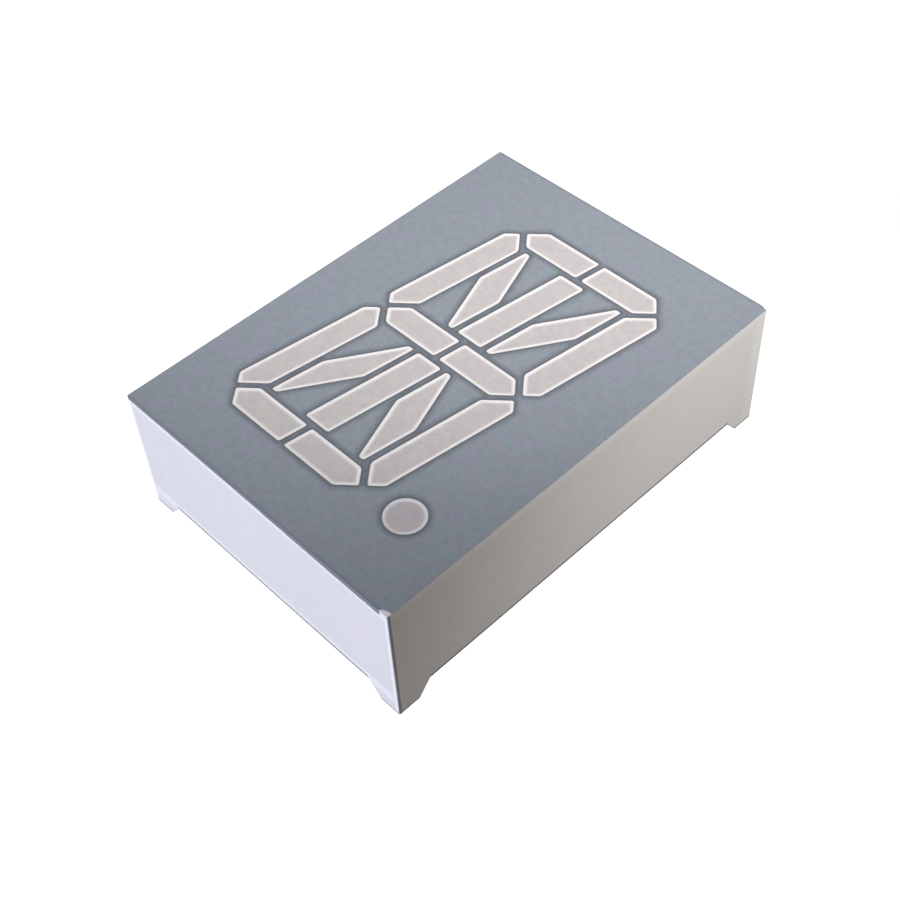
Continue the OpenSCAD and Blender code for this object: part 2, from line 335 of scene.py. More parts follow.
class HousingSpot:
    """Where a point of the housing lies, as the values that its finish is made of."""

    def __init__(self, place):
        skin = 0.06 * MM, 0.02 * MM
        self.place = place
        self.gap_x, self.gap_y = outer_gaps(place)
        self.side_wall, self.end_wall = self.gap_x.between(*skin), self.gap_y.between(*skin)
        self.x, self.height = along(place, "X"), along(place, "Z")
        self.depth = CAD_BOX[1].z - self.height
        self.right = self.x.between(-1 * MM, 0.0)
        self.lower_half = along(place, "Y").between(0.0, -1 * MM)
        self.facing = along(place.node("ShaderNodeNewGeometry", output="Normal"), "Z")

    def edge_highlights(self, wrap, foot):
        """Masks of the painted highlights on the end walls' edges, and of those on the side
        walls.
        """
        top = (self.depth - wrap).between(0.5 * MM, 0.15 * MM)
        low = (self.height - foot).between(0.7 * MM, 0.35 * MM)
        low = low * self.height.between(0.7 * foot, foot)
        corners = self.gap_x.between(0.35 * MM, 0.12 * MM)
        upper_corners = self.gap_y.between(1.3 * MM, 0.4 * MM) * (1 - self.lower_half)
        end_highlights = corners.most(top * 0.8).most(low * 0.7) * self.end_wall
        return end_highlights, upper_corners.most(top) * self.side_wall

    def shade_lines(self, foot):
        """Mask of painted shade: dark lines by the lower right corner, along the walls' feet and
        at the soles.
        """
        corner = self.gap_y.between(0.22 * MM, 0.14 * MM) * self.lower_half * self.right
        low = self.height.between(foot + 0.26 * MM, foot + 0.15 * MM)
        low = low * self.height.between(0.8 * foot, foot)
        low = low * self.gap_x.most(self.gap_y).between(2.1 * MM, 2.3 * MM)
        sole = self.height.between(0.2 * MM, 0.1 * MM)
        not_below = self.facing.between(-0.97, -0.9)
        return (corner * self.side_wall).most(low.most(sole) * not_below)

    def ink_run(self, wrap):
        """Mask of the ink that runs over the lower edge, and lower towards the right."""
        depth = self.depth + grain(self.place, 0.5 * MM, 3.0, seed=8.0) * (0.1 * MM)
        depth = depth - self.x.between(-4 * MM, 8 * MM) * (0.14 * MM)
        run = depth.between(wrap + 0.08 * MM, wrap + 0.03 * MM)
        bare_corner = CAD_BOX[1].x - 0.6 * MM, CAD_BOX[1].x - 0.45 * MM
        run = run * (1 - self.x.between(*bare_corner))
        return run * self.end_wall * self.lower_half

    def rims(self, well_rim, point_rim):
        """Mask and colour of the wells' rims, which show between the ink and the epoxy."""
        mask = self.depth.between(0.04 * MM, 0.03 * MM) * self.facing.between(0.8, 0.9)
        point = {0: self.place, 1: middle("light_pipe_point")}
        apart = self.place.node(
            "ShaderNodeVectorMath", {"operation": "DISTANCE"}, point, "Value"
        )
        return mask, apart.between(3.45 * MM, 3.5 * MM).blend(point_rim, well_rim)


def moulded_plastic(tints, sizes):
    """White moulded plastic: fine texture, flow clouds, painted highlights and painted shade
    lines on its edges, with ink over one edge.
    """
    material, shade, place = start_material("moulded_plastic")
    tint = tints.plastic
    clouds = grain(place, 5 * MM, 3.0)
    texture = grain(place, 0.07 * MM, 2.0)
    blotches = grain(place, 0.7 * MM, 3.0, seed=5.0)
    streaks = grain(place, 0.9 * MM, 4.0, stretch=(1, 1, 6), seed=3.0).between(0.6, 0.75)
    specks = grain(place, 0.22 * MM, 1.0, seed=7.0).between(0.74, 0.8)
    drift = grain(place, 1.2 * MM, 3.0, stretch=(1, 1, 0.5), seed=13.0).between(0.35, 0.65)
    body = drift.blend(scaled(tint, 1.02, 0.95, 0.99), scaled(tint, 0.97, 0.99, 0.95))
    body = (clouds.between(0.3, 0.7) * 0.5).blend(body, darker(tint, 0.06))
    body = (blotches.between(0.35, 0.65) * 0.5).blend(body, darker(tint, 0.07))
    body = (streaks * 0.4).blend(body, darker(tint, 0.1))
    body = (specks * 0.4).blend(body, darker(tint, 0.3))
    spot = HousingSpot(place)
    end_highlights, side_highlights = spot.edge_highlights(sizes.ink_wrap, sizes.foot)
    # Painted highlights: the end walls lighten near their corners, top and foot, and the side
    # walls near their upper corners and top.
    body = (end_highlights * (0.35 + blotches * 0.8)).blend(body, PAINTED_HIGHLIGHT)
    body = (side_highlights * 0.4).blend(body, PAINTED_HIGHLIGHT)
    # Painted shade: dark lines by the lower right corner, along the walls' feet and at the soles.
    body = (spot.shade_lines(sizes.foot) * (0.65 + clouds * 0.4)).blend(body, PAINTED_SHADE)
    body = spot.ink_run(sizes.ink_wrap).blend(body, tints.ink_edge)
    rims, rim_tint = spot.rims(tints.epoxy_rim, tints.point_rim)
    body = (rims * (0.7 + blotches.between(0.35, 0.6) * 0.3)).blend(body, rim_tint)
    roughness = 0.46 + texture * 0.12 - streaks * 0.1 - end_highlights * 0.08
    relief = texture * 0.7 + clouds * 0.3
    fixed = {"Specular IOR Level": 0.35}
    return close_material(material, shade, body, roughness, relief, 0.006 * MM, fixed)


def printed_ink(tint, edge_tint, bare):
    """Matt grey ink: mottled, with painted shade along the windows, darker along its edges, and
    chipped at its rim.
    """
    material, shade, place = start_material("printed_ink")
    window_shade = shade.node("ShaderNodeAttribute", {"attribute_name": "window_side"}, output="Fac")
    gap_x, gap_y = outer_gaps(place)
    edge = 0.22 * MM, 0.02 * MM
    rim, end_rim = gap_x.least(gap_y).between(*edge), gap_y.between(*edge)
    mottle = grain(place, 0.45 * MM, 3.0)
    speckle = grain(place, 0.11 * MM, 2.0, seed=2.0)
    clouds = grain(place, 4 * MM, 2.0, seed=5.0)
    drift = grain(place, 0.8 * MM, 3.0, seed=11.0).between(0.3, 0.7)
    body = drift.blend(scaled(tint, 0.91, 1.04, 0.98), scaled(tint, 1.07, 0.95, 1.03))
    body = clouds.between(0.3, 0.7).blend(body, tint)
    body = (mottle.between(0.35, 0.68) * 0.8).blend(body, darker(tint, 0.1))
    body = (speckle.between(0.5, 0.7) * 0.22).blend(body, PALE_PIGMENT)
    # Painted shade: a darker band of ink round each window, darkest in the narrow gaps between
    # windows.
    body = (window_shade * (0.95 + mottle * 0.3)).blend(body, edge_tint)
    body = (end_rim * 0.4).blend(body, edge_tint)
    worn = (rim + grain(place, 0.16 * MM, 3.0, seed=9.0)).between(1.76, 1.84)
    body = worn.blend(body, bare)
    roughness = 0.62 + mottle * 0.12 - worn * 0.12
    height = mottle * 0.4 + speckle * 0.6 - worn * 0.8
    fixed = {"Specular IOR Level": 0.25}
    return close_material(material, shade, body, roughness, height, 0.006 * MM, fixed)


def cast_epoxy(name, tint, rim_tint):
    """Milky epoxy: settled diffusant mottles it, and it thins to the white of its wall."""
    material, shade, place = start_material(name)
    wall = shade.node("ShaderNodeAttribute", {"attribute_name": "wall_side"}, output="Fac")
    settled = grain(place, 0.4 * MM, 4.0)
    warm = grain(place, 0.9 * MM, 3.0, seed=4.0)
    fine = grain(place, 0.12 * MM, 2.0, seed=6.0)
    body = settled.between(0.35, 0.65).blend(darker(tint, -0.03), darker(tint, 0.08))
    body = (warm.between(0.48, 0.62) * 0.7).blend(body, scaled(tint, 1.03, 0.96, 0.98))
    body = (warm.between(0.52, 0.38) * 0.7).blend(body, scaled(tint, 1.04, 1.04, 0.94))
    body = (fine.between(0.45, 0.7) * 0.4).blend(body, darker(tint, 0.12))
    body = (wall.between(0.0, 1.0) * (0.3 + warm)).blend(body, rim_tint)
    roughness = 0.5 + settled * 0.14
    height = settled * 0.8 + fine * 0.2
    fixed = {"Specular IOR Level": 0.28}
    return close_material(material, shade, body, roughness, height, 0.008 * MM, fixed)


def board_lacquer(tint):
    """Green lacquer over laminate: the weave shows through faintly, and the edge is bare."""
    material, shade, place = start_material("board_lacquer")
    threads = {"Vector": place, "Scale": 380.0, "Distortion": 0.6, "Detail": 1.0}
    warp, weft = (
        shade.node(
            "ShaderNodeTexWave", {"wave_type": "BANDS", "bands_direction": axis}, threads, "Fac"
        )
        for axis in "XY"
    )
    cloth = warp * weft
    mottle = grain(place, 1.1 * MM, 3.0)
    body = mottle.between(0.3, 0.7).blend(tint, darker(tint, 0.16))
    body = (cloth * 0.25).blend(body, GLASS_CLOTH)
    facing = shade.node("ShaderNodeNewGeometry", output="Normal")
    edge = abs(along(facing, "Z")).between(0.5, 0.3)
    fibre = grain(place, 0.25 * MM, 3.0, stretch=(1, 1, 9))
    body = edge.blend(body, fibre.blend(*BARE_LAMINATE))
    roughness = 0.3 + mottle * 0.12 + edge * 0.35
    height = cloth * 0.5 + mottle * 0.5
    fixed = {"Specular IOR Level": 0.5}
    return close_material(material, shade, body, roughness, height, 0.008 * MM, fixed)


def sealing_epoxy(tint):
    """Amber-white epoxy, glossy and a little uneven, with tiny bubbles."""
    material, shade, place = start_material("sealing_epoxy")
    flow = grain(place, 1.6 * MM, 3.0)
    spacing = 0.5 * MM
    bubbles = shade.node("ShaderNodeTexVoronoi", values={"Vector": place, "Scale": 1 / spacing})
    pit = bubbles.between(0.16, 0.1)
    body = flow.between(0.3, 0.7).blend(tint, darker(tint, 0.14))
    body = (pit * 0.5).blend(body, darker(tint, 0.35))
    roughness = 0.16 + flow * 0.12
    height = flow - pit * 0.4
    fixed = {"Specular IOR Level": 0.5, "Coat Weight": 0.25, "Coat Roughness": 0.08}
    return close_material(material, shade, body, roughness, height, 0.02 * MM, fixed)


def plated_metal(name, tint, size, rough, stretch=(1, 1, 1)):
    """Bright metal that is drawn or plated: brushed along one axis and dulled in patches."""
    material, shade, place = start_material(name)
    drawn = grain(place, size, 3.0, stretch)
    dull = grain(place, 6 * size, 3.0, seed=2.0).between(0.4, 0.7)
    body = dull.blend(tint, darker(tint, 0.1))
    body = (drawn.between(0.5, 0.8) * 0.2).blend(body, darker(tint, 0.25))
    roughness = rough + dull * 0.16 + drawn * 0.08
    fixed = {"Metallic": 1.0}
    return close_material(material, shade, body, roughness, drawn, 0.004 * MM, fixed)


def chip_finish(tint):
    """A bare LED chip, etched on its faces and sawn along its sides."""
    material, shade, place = start_material("chip_finish")
    etched = grain(place, 0.03 * MM, 3.0)
    sawn = grain(place, 0.05 * MM, 2.0, stretch=(1, 1, 12))
    body = etched.between(0.35, 0.65).blend(tint, darker(tint, 0.4))
    roughness = 0.25 + sawn * 0.2
    fixed = {"Specular IOR Level": 0.6}
    return close_material(material, shade, body, roughness, etched, 0.002 * MM, fixed)


# ---- Building pieces ------------------------------------------------------------------------


def node_copy(name):
    """A copy of a CAD node's mesh, merged, with its flat surfaces as single faces."""
    shape = bmesh.new()
    shape.from_mesh(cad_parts[name].data)
    bmesh.ops.remove_doubles(shape, verts=shape.verts, dist=HAIR / 10)
    bmesh.ops.dissolve_limit(
        shape, angle_limit=math.radians(0.5), verts=shape.verts, edges=shape.edges
    )
    return shape


def film_level(film):
    """Level of the white face, on which a film of ink lies."""
    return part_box("printed_face")[1].z - film


def raise_face(shape, film):
    """Lifts the white face, as a part of a shape, to where the film of ink is thin enough."""
    face_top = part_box("reflector_housing")[1].z
    for vert in shape.verts:
        if abs(vert.co.z - face_top) < HAIR:
            vert.co.z = film_level(film)


def outline_gap(place):
    """How far inside the outline of the housing a place lies."""
    low, high = CAD_BOX
    return min(place.x - low.x, high.x - place.x, place.y - low.y, high.y - place.y)


def search_tree(edges):
    """A search tree of points close together along edges, to find how far away they run."""
    step = 0.04 * MM
    points = []
    for edge in edges:
        one, other = (vert.co for vert in edge.verts)
        count = max(1, round((other - one).length / step))
        points += [one.lerp(other, index / count) for index in range(count)]
    tree = kdtree.KDTree(len(points))
    for index, point in enumerate(points):
        tree.insert(point, index)
    tree.balance()
    return tree


def cut_grid(shape, level, step):
    """Cuts the flat faces at a level into a grid, and gives the vertices of what they become."""

    def flat_faces():
        return [f for f in shape.faces if all(abs(v.co.z - level) < HAIR for v in f.verts)]

    corners = [vert.co.copy() for face in flat_faces() for vert in face.verts]
    for axis in (0, 1):
        places = [corner[axis] / step for corner in corners]
        normal = Vector((axis == 0, axis == 1, 0))
        for index in range(math.ceil(min(places)), math.floor(max(places)) + 1):
            parts = (part for f in flat_faces() for part in (f, *f.edges, *f.verts))
            bmesh.ops.bisect_plane(
                shape,
                geom=each_once(parts),
                dist=CUT_SNAP,
                plane_co=normal * index * step,
                plane_no=normal,
            )
            shape.faces.sort(key=order_by_place)
    merge_near_rim(shape, flat_faces())
    flat = set(flat_faces())
    for edge in shape.edges:
        if len(flat.intersection(edge.link_faces)) == 1:
            edge.smooth = False
    return {vert for face in flat for vert in face.verts}


def each_once(parts):
    """The parts of a mesh without repeats, in an order that is the same in each run."""
    return list(dict.fromkeys(parts))


def order_by_place(face):
    """A number for sorting faces by place, because a cut leaves them in a chance order."""
    return face.calc_center_median().dot(Vector((1, 1.618, 2.718)))


def merge_near_rim(shape, flat):
    """Merges the vertices of flat faces that lie almost together along the rim of the faces."""
    inside = set(flat)
    verts = each_once(vert for face in flat for vert in face.verts)
    rim = [vert for vert in verts if not inside.issuperset(vert.link_faces)]
    inner = [vert for vert in verts if inside.issuperset(vert.link_faces)]
    bmesh.ops.remove_doubles(shape, verts=rim, dist=RIM_MERGE)
    rim = [vert for vert in rim if vert.is_valid]
    tree = kdtree.KDTree(len(rim))
    for index, vert in enumerate(rim):
        tree.insert(vert.co, index)
    tree.balance()
    targets = {}
    for vert in inner:
        index, gap = tree.find(vert.co)[1:]
        if gap < INNER_MERGE:
            targets[vert] = rim[index]
    bmesh.ops.weld_verts(shape, targetmap=targets)
    bmesh.ops.recalc_face_normals(shape, faces=shape.faces)


def add_piece(shape, name, material, replaced=(), smooth=35):
    """Ends a bmesh as a piece that rides on the body, with its finish and soft shading."""
    for face in shape.faces:
        face.smooth = True
    for edge in shape.edges:
        edge.smooth = edge.smooth and edge.calc_face_angle(0) < math.radians(smooth)
    mesh = bpy.data.meshes.new(name)
    shape.to_mesh(mesh)
    shape.free()
    mesh.materials.append(material)
    piece = bpy.data.objects.new(name, mesh)
    bpy.context.scene.collection.objects.link(piece)
    weights = piece.modifiers.new("flat faces stay flat", "WEIGHTED_NORMAL")
    weights.keep_sharp = True
    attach(piece, "root")
    if replaced:
        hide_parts(*replaced)


def dress_node(name, material):
    """Gives a CAD node that is shown as it is its finish."""
    for index in range(len(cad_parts[name].data.materials)):
        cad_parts[name].data.materials[index] = material


def middle(name):
    """Centre of a CAD node's box."""
    low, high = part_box(name)
    return (low + high) / 2


def ring(shape, width, long, radius, level):
    """Vertices in order of a rectangle with round corners about the Z axis, at a level."""
    made = bmesh.ops.create_grid(shape, x_segments=1, y_segments=1, size=0.5)
    bmesh.ops.scale(shape, verts=made["verts"], vec=(width, long, 1))
    bmesh.ops.translate(shape, verts=made["verts"], vec=(0, 0, level))
    bmesh.ops.bevel(
        shape,
        geom=made["verts"],
        offset=radius,
        offset_type="OFFSET",
        segments=8,
        profile=0.5,
        affect="VERTICES",
        material=-1,
    )
    face = max(shape.faces, key=lambda face: len(face.verts))
    verts = sorted(face.verts, key=lambda vert: math.atan2(vert.co.y, vert.co.x))
    bmesh.ops.delete(shape, geom=[face], context="FACES_ONLY")
    return verts


def turned(shape, outline, centre, steps):
    """Turns a closed or open outline of (radius, level) points about a vertical axis."""
    points = [
        shape.verts.new((centre[0] + radius, centre[1], level)) for radius, level in outline
    ]
    edges = [shape.edges.new(pair) for pair in zip(points, points[1:])]
    if outline[0][0] > HAIR:  # off the axis, so the outline is a closed one
        edges.append(shape.edges.new((points[-1], points[0])))
    bmesh.ops.spin(
        shape,
        geom=points + edges,
        cent=(centre[0], centre[1], 0),
        axis=(0, 0, 1),
        angle=FULL_TURN,
        steps=steps,
        use_merge=True,
    )
    bmesh.ops.remove_doubles(shape, verts=shape.verts, dist=HAIR / 10)
    bmesh.ops.recalc_face_normals(shape, faces=shape.faces)
    return shape


class PieceOperator:
    """What the operators of this display share."""

    bl_options = {"REGISTER", "UNDO"}

    @property
    def sizes(self):
        return bpy.context.scene.display_sizes

    @property
    def tints(self):
        return bpy.context.scene.display_colours


class DISPLAY_OT_housing(PieceOperator, bpy.types.Operator):
    """Builds the moulded housing with rounded outer edges"""

    bl_idname = "led_display.housing"
    bl_label = "Reflector housing"

    def execute(self, context):
        shape = node_copy("reflector_housing")
        raise_face(shape, self.sizes.ink_film)
        outside = {face for face in shape.faces if self.is_outer_wall(face)}
        top = film_level(self.sizes.ink_film)
        edges = [
            edge
            for edge in shape.edges
            if len(outside.intersection(edge.link_faces)) == 1
            and min(vert.co.z for vert in edge.verts) < top - HAIR
        ]
        bmesh.ops.bevel(
            shape,
            geom=edges,
            offset=self.sizes.edge_round,
            offset_type="OFFSET",
            segments=3,
            profile=0.5,
            affect="EDGES",
            clamp_overlap=False,
            material=-1,
        )
        add_piece(
            shape,
            "housing_moulding",
            moulded_plastic(self.tints, self.sizes),
            ["reflector_housing"],
        )
        return {"FINISHED"}

    @staticmethod
    def is_outer_wall(face):
        """Is this face upright, and does it lie in the outline of the housing?"""
        upright = abs(face.normal.z) <= 0.1
        return upright and all(outline_gap(vert.co) < 0.05 * MM for vert in face.verts)


class DISPLAY_OT_printed_face(PieceOperator, bpy.types.Operator):
    """Builds the ink of the face, with a border of painted shade along each window and a border
    along the outer edge
    """

    bl_idname = "led_display.printed_face"
    bl_label = "Printed face"

    def execute(self, context):
        shape = node_copy("printed_face")
        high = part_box("printed_face")[1]
        raise_face(shape, self.sizes.ink_film)
        corners = [edge for edge in shape.edges if self.is_window_corner(edge)]
        bmesh.ops.bevel(
            shape,
            geom=corners,
            offset=self.sizes.window_round,
            offset_type="OFFSET",
            segments=4,
            profile=0.5,
            affect="EDGES",
            clamp_overlap=True,
            material=-1,
        )
        top = [face for face in shape.faces if face.normal.z > 0.9]
        windows = search_tree(
            edge
            for edge in {edge for face in top for edge in face.edges}
            if any(face.normal.z < 0.9 for face in edge.link_faces)
            and outline_gap(edge.verts[0].co) > INK_RIM
        )
        spread = (CAD_BOX[1].x / high.x, CAD_BOX[1].y / high.y)
        for vert in shape.verts:
            if outline_gap(vert.co) < INK_RIM:
                vert.co.x *= spread[0]
                vert.co.y *= spread[1]
        cut_grid(shape, high.z, step=0.25 * MM)
        # Painted shade: how near each point lies to a window, which darkens the ink there.
        window_side = shape.verts.layers.float.new("window_side")
        for vert in shape.verts:
            gap = windows.find(vert.co)[2]
            vert[window_side] = max(0.0, 1 - gap / self.sizes.window_shade_width)
        tints = self.tints
        add_piece(
            shape,
            "face_ink",
            printed_ink(tints.ink, tints.ink_edge, tints.plastic),
            ["printed_face"],
        )
        return {"FINISHED"}

    @staticmethod
    def is_window_corner(edge):
        """Is this an upright edge inside the face, where two sides of a window meet?"""
        one, other = (vert.co for vert in edge.verts)
        upright = (one.xy - other.xy).length < HAIR
        turn = edge.calc_face_angle(0)
        return upright and outline_gap(one) > INK_RIM and turn > math.radians(17)


class DISPLAY_OT_light_pipes(PieceOperator, bpy.types.Operator):
    """Builds the sixteen light pipes and the decimal point, each climbing its wall a little"""

    bl_idname = "led_display.light_pipes"
    bl_label = "Light pipes"

    def execute(self, context):
        tints = self.tints
        milky = cast_epoxy("milky_epoxy", tints.epoxy, tints.epoxy_rim)
        dusky = cast_epoxy("point_epoxy", tints.point_epoxy, tints.point_rim)
        for letter in SEGMENTS:
            self.pipe(f"light_pipe_{letter}", f"epoxy_{letter}", "milky_epoxy", milky)
        self.pipe("light_pipe_point", "epoxy_point", "point_epoxy", dusky)
        return {"FINISHED"}

    def pipe(self, node, name, slot, material):
        """One light pipe, whose face dips a little between the walls of its well."""
        shape = node_copy(node)
        raise_face(shape, self.sizes.ink_film)
        level = film_level(self.sizes.ink_film)
        top = [face for face in shape.faces if face.calc_center_median().z > level - HAIR]
        wall = search_tree(
            edge
            for edge in {edge for face in top for edge in face.edges}
            if any(face not in top for face in edge.link_faces)
        )
        wall_side = shape.verts.layers.float.new("wall_side")
        for vert in cut_grid(shape, level, step=0.12 * MM):
            away = min(1.0, wall.find(vert.co)[2] / self.sizes.pipe_climb)
            vert[wall_side] = 1 - away
            vert.co.z -= self.sizes.pipe_dip * away * (2 - away)
        add_piece(shape, name, material, [node])


class DISPLAY_OT_led_chips(PieceOperator, bpy.types.Operator):
    """Finishes the LED chips and their bond wires"""

    bl_idname = "led_display.led_chips"
    bl_label = "LED chips"

    def execute(self, context):
        die = chip_finish(self.tints.chip)
        for letter in [*SEGMENTS, "point"]:
            dress_node(f"led_chip_{letter}", die)
        wire = plated_metal("gold_wire", self.tints.gold, 0.02 * MM, 0.2)
        dress_node("bond_wires", wire)
        return {"FINISHED"}


class DISPLAY_OT_circuit_board(PieceOperator, bpy.types.Operator):
    """Finishes the circuit board and lays its pads, tracks and vias on the back"""

    bl_idname = "led_display.circuit_board"
    bl_label = "Circuit board"

    def execute(self, context):
        lacquer = board_lacquer(self.tints.solder_mask)
        dress_node("circuit_board", lacquer)
        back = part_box("circuit_board")[0].z
        pads, tracks = bmesh.new(), bmesh.new()
        radius = self.joint_radius() + self.sizes.pad_ring
        for index, name in enumerate(PINS):
            pin = middle(name)
            side = math.copysign(1, pin.x)
            self.disc(pads, pin, radius, back)
            via = self.via_place(index, pin, side)
            self.disc(tracks, via, self.sizes.via_diameter / 2, back)
            self.track(tracks, pin, via, side, back)
        tin = plated_metal("pad_tin", self.tints.tin, 0.1 * MM, 0.3)
        add_piece(pads, "board_pads", tin)
        add_piece(tracks, "board_tracks", board_lacquer(self.track_tint()))
        return {"FINISHED"}

    def track_tint(self):
        """Lacquer looks lighter where copper lies under it."""
        return tuple(min(1.0, value * 2.6 + 0.02) for value in self.tints.solder_mask)

    @staticmethod
    def joint_radius():
        """Radius of a solder joint: how far the joints reach beyond the outermost pin."""
        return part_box("solder_joints")[1].x - middle(PINS[-1]).x

    @staticmethod
    def via_place(index, pin, side):
        """Vias stand in two columns on each side, turn and turn about, above or below the pin."""
        inward = (3.1 * MM, 4.9 * MM)[index % 2]
        upward = 0.9 * MM
        return Vector((pin.x - side * inward, pin.y + side * upward, 0))

    def disc(self, shape, centre, radius, back):
        """A round land of copper under the board's back."""
        made = bmesh.ops.create_circle(
            shape,
            cap_ends=True,
            radius=radius,
            segments=40,
            matrix=Matrix.Translation((centre.x, centre.y, back)),
        )
        self.thicken(shape, made["verts"][0].link_faces[:], self.sizes.copper)

    def track(self, shape, pin, via, side, back):
        """A ribbon of copper from a pad to a via, with one slanted jog."""
        width = self.sizes.track_width
        run_in = 0.6 * MM
        line = [
            Vector((pin.x, pin.y, back)),
            Vector((via.x + side * (abs(via.y - pin.y) + run_in), pin.y, back)),
            Vector((via.x + side * run_in, via.y, back)),
            Vector((via.x, via.y, back)),
        ]
        slope = math.copysign(1, (line[2].y - line[1].y) * (line[2].x - line[1].x))
        mitre = math.tan(math.radians(45 / 2))
        across = Vector((-slope * mitre * width, width, 0))
        points = [shape.verts.new(p - across / 2) for p in line]
        edges = [shape.edges.new(pair) for pair in zip(points, points[1:])]
        made = bmesh.ops.extrude_edge_only(shape, edges=edges)["geom"]
        moved = [part for part in made if isinstance(part, bmesh.types.BMVert)]
        bmesh.ops.translate(shape, verts=moved, vec=across)
        faces = [part for part in made if isinstance(part, bmesh.types.BMFace)]
        self.thicken(shape, faces, 0.8 * self.sizes.copper)

    @staticmethod
    def thicken(shape, faces, thickness):
        """Gives flat faces a thickness, downwards from the board."""
        made = bmesh.ops.extrude_face_region(shape, geom=faces, use_keep_orig=True)["geom"]
        moved = [part for part in made if isinstance(part, bmesh.types.BMVert)]
        bmesh.ops.translate(shape, verts=moved, vec=(0, 0, -thickness))
        bmesh.ops.recalc_face_normals(shape, faces=shape.faces)


class DISPLAY_OT_sealing_bead(PieceOperator, bpy.types.Operator):
    """Builds the epoxy bead round the board, hollow between the wall and the board's back"""

    bl_idname = "led_display.sealing_bead"
    bl_label = "Sealing bead"

    def execute(self, context):
        low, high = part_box("sealing_bead")
        board_low, board_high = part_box("circuit_board")
        gap = high.x - board_high.x
        width, long = high.x - low.x, high.y - low.y
        reach, corner = 0.45 * MM, 0.66 * MM  # over the board, and round the board's corners
        steps = 6
        outline = [(gap, high.z), (0.0, high.z)]
        for step in range(steps + 1):
            along_slope = step / steps
            level = low.z + (board_low.z - low.z) * along_slope
            sag = self.sizes.bead_sag * math.sin(math.pi * along_slope)
            outline.append((reach * along_slope, level + sag))
        outline.append((gap, board_low.z))
        shape = bmesh.new()
        rings = [
            ring(shape, width - 2 * inset, long - 2 * inset, corner - inset, level)
            for inset, level in outline
        ]
        for one, other in zip(rings, [*rings[1:], rings[0]]):
            for index in range(len(one)):
                shape.faces.new((one[index - 1], one[index], other[index], other[index - 1]))
        bmesh.ops.recalc_face_normals(shape, faces=shape.faces)
        add_piece(
            shape,
            "epoxy_bead",
            sealing_epoxy(self.tints.sealing),
            ["sealing_bead"],
        )
        return {"FINISHED"}


class DISPLAY_OT_pins(PieceOperator, bpy.types.Operator):
    """Builds the eighteen pins, turned with soft edges, a shank and a head"""

    bl_idname = "led_display.pins"
    bl_label = "Pins"

    def execute(self, context):
        tin = plated_metal("tinned_pin", self.tints.tin, 0.06 * MM, 0.22, stretch=(1, 1, 0.12))
        for pin in PINS:
            shape = turned(bmesh.new(), self.outline(*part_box(pin)), middle(pin), steps=32)
            add_piece(shape, f"turned_{pin}", tin, [pin], smooth=50)
        return {"FINISHED"}

    def outline(self, low, high):
        """Half section of a pin from its tip up, on the axis at both ends."""
        head = (high.x - low.x) / 2
        tip = PIN_LEG - 0.06 * MM
        shank_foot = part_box("solder_joints")[0].z
        board_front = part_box("circuit_board")[1].z
        soft = self.sizes.tip_round
        return [
            (0, low.z),
            (tip - soft, low.z),
            (tip, low.z + soft),
            (PIN_LEG - 0.01 * MM, low.z + 0.12 * MM),
            (PIN_LEG, low.z + 0.16 * MM),
            (PIN_LEG, shank_foot),
            (PIN_SHANK, shank_foot + soft),
            (PIN_SHANK, board_front),
            (head - soft, board_front),
            (head, board_front + soft),
            (head, high.z - 2 * soft),
            (head - 2 * soft, high.z),
            (0, high.z),
        ]


class DISPLAY_OT_solder_joints(PieceOperator, bpy.types.Operator):
    """Builds the solder joints as hollow fillets that climb the pins"""

    bl_idname = "led_display.solder_joints"
    bl_label = "Solder joints"

    def execute(self, context):
        low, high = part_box("solder_joints")
        radius = DISPLAY_OT_circuit_board.joint_radius()
        climb = 0.06 * MM  # how far the solder wets the pin beyond its solid
        bottom = low.z - climb
        toe = high.z - self.sizes.solder_toe - self.sizes.copper
        spread, fall = 1.25, 1.15  # how hollow a fillet is, across and along the pin
        steps = 9
        outline = []
        for step in range(steps + 1):
            turn = FULL_TURN / 4 * step / steps
            away = radius - (radius - PIN_LEG) * math.cos(turn) ** spread
            outline.append((away, toe - (toe - bottom) * (1 - math.sin(turn)) ** fall))
        outline += [(radius, high.z), (PIN_LEG, high.z)]
        joints = bmesh.new()
        for pin in PINS:
            turned(joints, outline, middle(pin), steps=40)
        solder = plated_metal("bright_solder", self.tints.solder, 0.14 * MM, 0.2)
        add_piece(joints, "solder_fillets", solder, ["solder_joints"], smooth=60)
        return {"FINISHED"}


# ---- Stage ----------------------------------------------------------------------------------


LIT_CENTRE = Vector((0, 0, 4 * MM))  # the lamps stand round this place
FRONT_LIGHT = (0.754, 0.818, 1.0)
REAR_LIGHT = (1.0, 0.98, 0.965)
SOFT_LIGHT = (1.0, 0.879, 0.748, 1.0)


def direction(azimuth, elevation):
    """Unit vector towards a place round the object: azimuth 0 is at -Y and 90 degrees at +X."""
    return Vector(
        (
            math.sin(azimuth) * math.cos(elevation),
            -math.cos(azimuth) * math.cos(elevation),
            math.sin(elevation),
        )
    )


